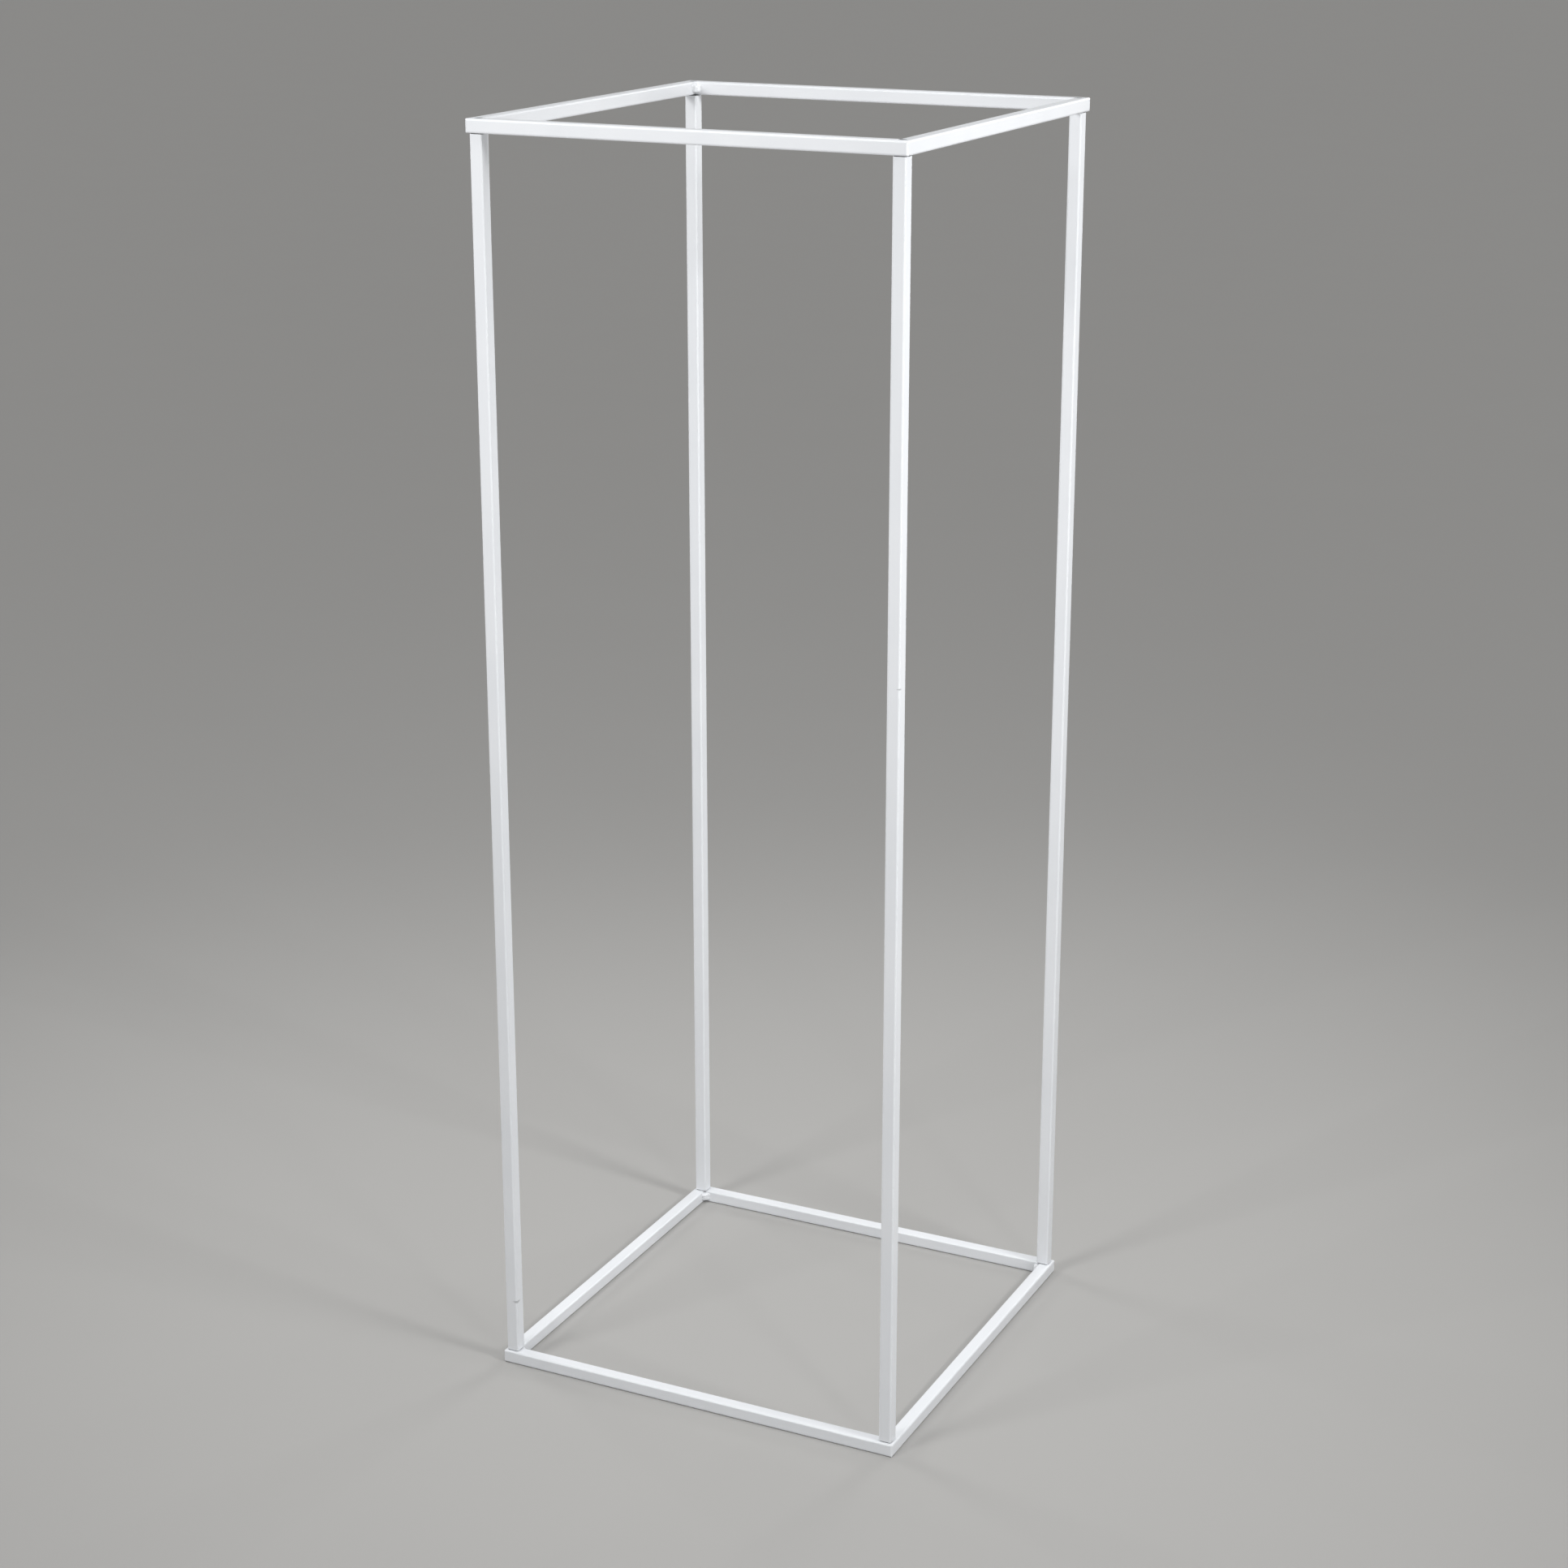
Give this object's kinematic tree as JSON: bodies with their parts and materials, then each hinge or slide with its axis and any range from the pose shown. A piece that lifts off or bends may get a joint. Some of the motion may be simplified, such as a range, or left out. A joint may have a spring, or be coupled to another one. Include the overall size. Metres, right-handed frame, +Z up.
{
  "type": "display plinth",
  "caption": "Open cage display plinth of slim white square steel tube, with a square ring at floor and top joined by corner posts and countersunk screws.",
  "frame": {"origin": "middle of the square footprint, on the underside of the bottom ring, which is the floor", "axes": "+Z up along the posts, +X and +Y along the sides of the footprint, the front side faces -Y"},
  "size_m": [0.4, 0.4, 1.15],
  "materials": {
    "white_powder_coat": "white satin powder coat on mild steel tube",
    "coated_weld": "unground steel weld bead under the same white powder coat",
    "black_nylon": "black moulded nylon",
    "zinc_screw": "bright zinc plated steel countersunk screw"
  },
  "bodies": {
    "root": {"bottom_front_bar": "white_powder_coat", "bottom_right_bar": "white_powder_coat", "bottom_rear_bar": "white_powder_coat", "bottom_left_bar": "white_powder_coat", "top_front_bar": "white_powder_coat", "top_right_bar": "white_powder_coat", "top_rear_bar": "white_powder_coat", "top_left_bar": "white_powder_coat", "front_left_post": "white_powder_coat", "front_right_post": "white_powder_coat", "rear_right_post": "white_powder_coat", "rear_left_post": "white_powder_coat", "bottom_front_left_corner_weld": "coated_weld", "bottom_front_right_corner_weld": "coated_weld", "bottom_rear_right_corner_weld": "coated_weld", "bottom_rear_left_corner_weld": "coated_weld", "top_front_left_corner_weld": "coated_weld", "top_front_right_corner_weld": "coated_weld", "top_rear_right_corner_weld": "coated_weld", "top_rear_left_corner_weld": "coated_weld", "front_left_post_bottom_plug": "black_nylon", "front_right_post_bottom_plug": "black_nylon", "rear_right_post_bottom_plug": "black_nylon", "rear_left_post_bottom_plug": "black_nylon", "front_left_post_top_plug": "black_nylon", "front_right_post_top_plug": "black_nylon", "rear_right_post_top_plug": "black_nylon", "rear_left_post_top_plug": "black_nylon", "bottom_screws": "zinc_screw", "top_screws": "zinc_screw"}
  },
  "joints": []
}
